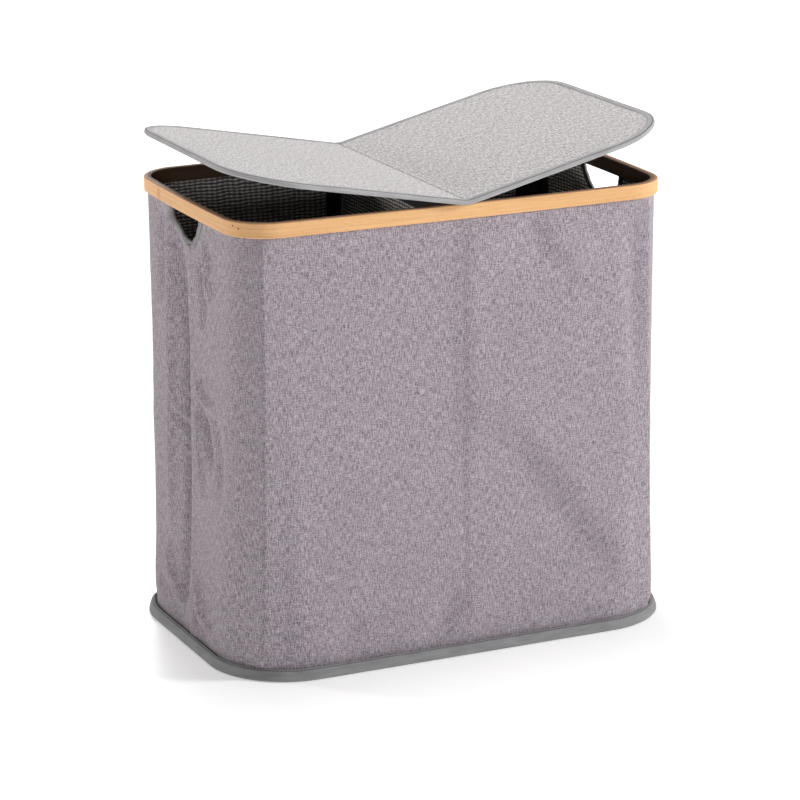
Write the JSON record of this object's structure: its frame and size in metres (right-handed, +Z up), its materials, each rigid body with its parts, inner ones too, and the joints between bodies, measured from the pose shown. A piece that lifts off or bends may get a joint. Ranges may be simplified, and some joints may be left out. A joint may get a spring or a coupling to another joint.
{
  "type": "laundry hamper with lid",
  "caption": "Two-compartment fabric laundry hamper on a bamboo hoop, with hand holes, a divider and a folding two-leaf lid.",
  "frame": {"origin": "centre of the footprint, on the floor", "axes": "+X to the right along the hamper's width, front at -Y, +Z up"},
  "size_m": [0.56, 0.364, 0.5895],
  "materials": {
    "bamboo": "bamboo strip with fine straight grain, thin satin lacquer",
    "bamboo_inner": "darker bamboo strip with fine straight grain, matte",
    "brad_metal": "small dark steel brads",
    "body_cloth": "linen-look woven polyester, mid grey melange",
    "lining_cloth": "charcoal coated lining printed with a fine light grid",
    "base_cloth": "linen-look woven polyester, dark grey",
    "base_tape": "smooth grey woven binding tape with a row of stitches",
    "hand_hole_tape": "smooth grey woven binding tape with a row of stitches",
    "black_tape": "black woven webbing",
    "divider_cloth": "black woven polyester",
    "loop_tape": "black loop tape, soft pile",
    "hook_tape": "dark hook tape",
    "cap_rubber": "black rubber end cap, matte",
    "rod_glassfibre": "white glass-fibre rod, smooth",
    "hardboard": "brown hardboard, smooth",
    "lid_cloth": "linen-look woven polyester, light grey melange",
    "lid_lining": "plain non-woven backing cloth, grey",
    "lid_tape": "smooth light grey woven binding tape with a row of stitches"
  },
  "bodies": {
    "hamper_body": {"back_body_panel": "body_cloth", "back_lining": "lining_cloth", "base_binding": "base_tape", "base_cloth": "base_cloth", "divider_loop_strip": "loop_tape", "divider_panel": "divider_cloth", "divider_tape_back": "black_tape", "divider_tape_front": "black_tape", "divider_top_hem": "black_tape", "floor_board": "hardboard", "floor_liner": "lining_cloth", "front_body_panel": "body_cloth", "front_lining": "lining_cloth", "lap_brads": "brad_metal", "left_hand_hole_tape": "hand_hole_tape", "right_hand_hole_tape": "hand_hole_tape", "rim_inner_hoop": "bamboo_inner", "rim_outer_hoop": "bamboo", "rod_back_left": "rod_glassfibre", "rod_back_right": "rod_glassfibre", "rod_end_caps": "cap_rubber", "rod_front_left": "rod_glassfibre", "rod_front_right": "rod_glassfibre", "sleeve_back_left": "black_tape", "sleeve_back_right": "black_tape", "sleeve_front_left": "black_tape", "sleeve_front_right": "black_tape"},
    "lid_spine_strip": {"lid_hook_strip": "hook_tape", "lid_spine": "lid_cloth"},
    "left_leaf": {"left_lid_binding": "lid_tape", "left_lid_board": "hardboard", "left_lid_cover": "lid_cloth", "left_lid_underside": "lid_lining"},
    "right_leaf": {"right_lid_binding": "lid_tape", "right_lid_board": "hardboard", "right_lid_cover": "lid_cloth", "right_lid_underside": "lid_lining"}
  },
  "joints": [
    {"name": "lid_lift", "type": "slide", "parent": "hamper_body", "child": "lid_spine_strip", "axis": [0, 0, 1], "range_m": [0, 0.12]},
    {"name": "left_lid_hinge", "type": "hinge", "parent": "lid_spine_strip", "child": "left_leaf", "pos_m": [-0.004, 0, 0.5235], "axis": [0, 1, 0], "range_deg": [-10.8, 77.2]},
    {"name": "right_lid_hinge", "type": "hinge", "parent": "lid_spine_strip", "child": "right_leaf", "pos_m": [0.004, 0, 0.5235], "axis": [0, -1, 0], "range_deg": [-13.6, 74.4]}
  ]
}
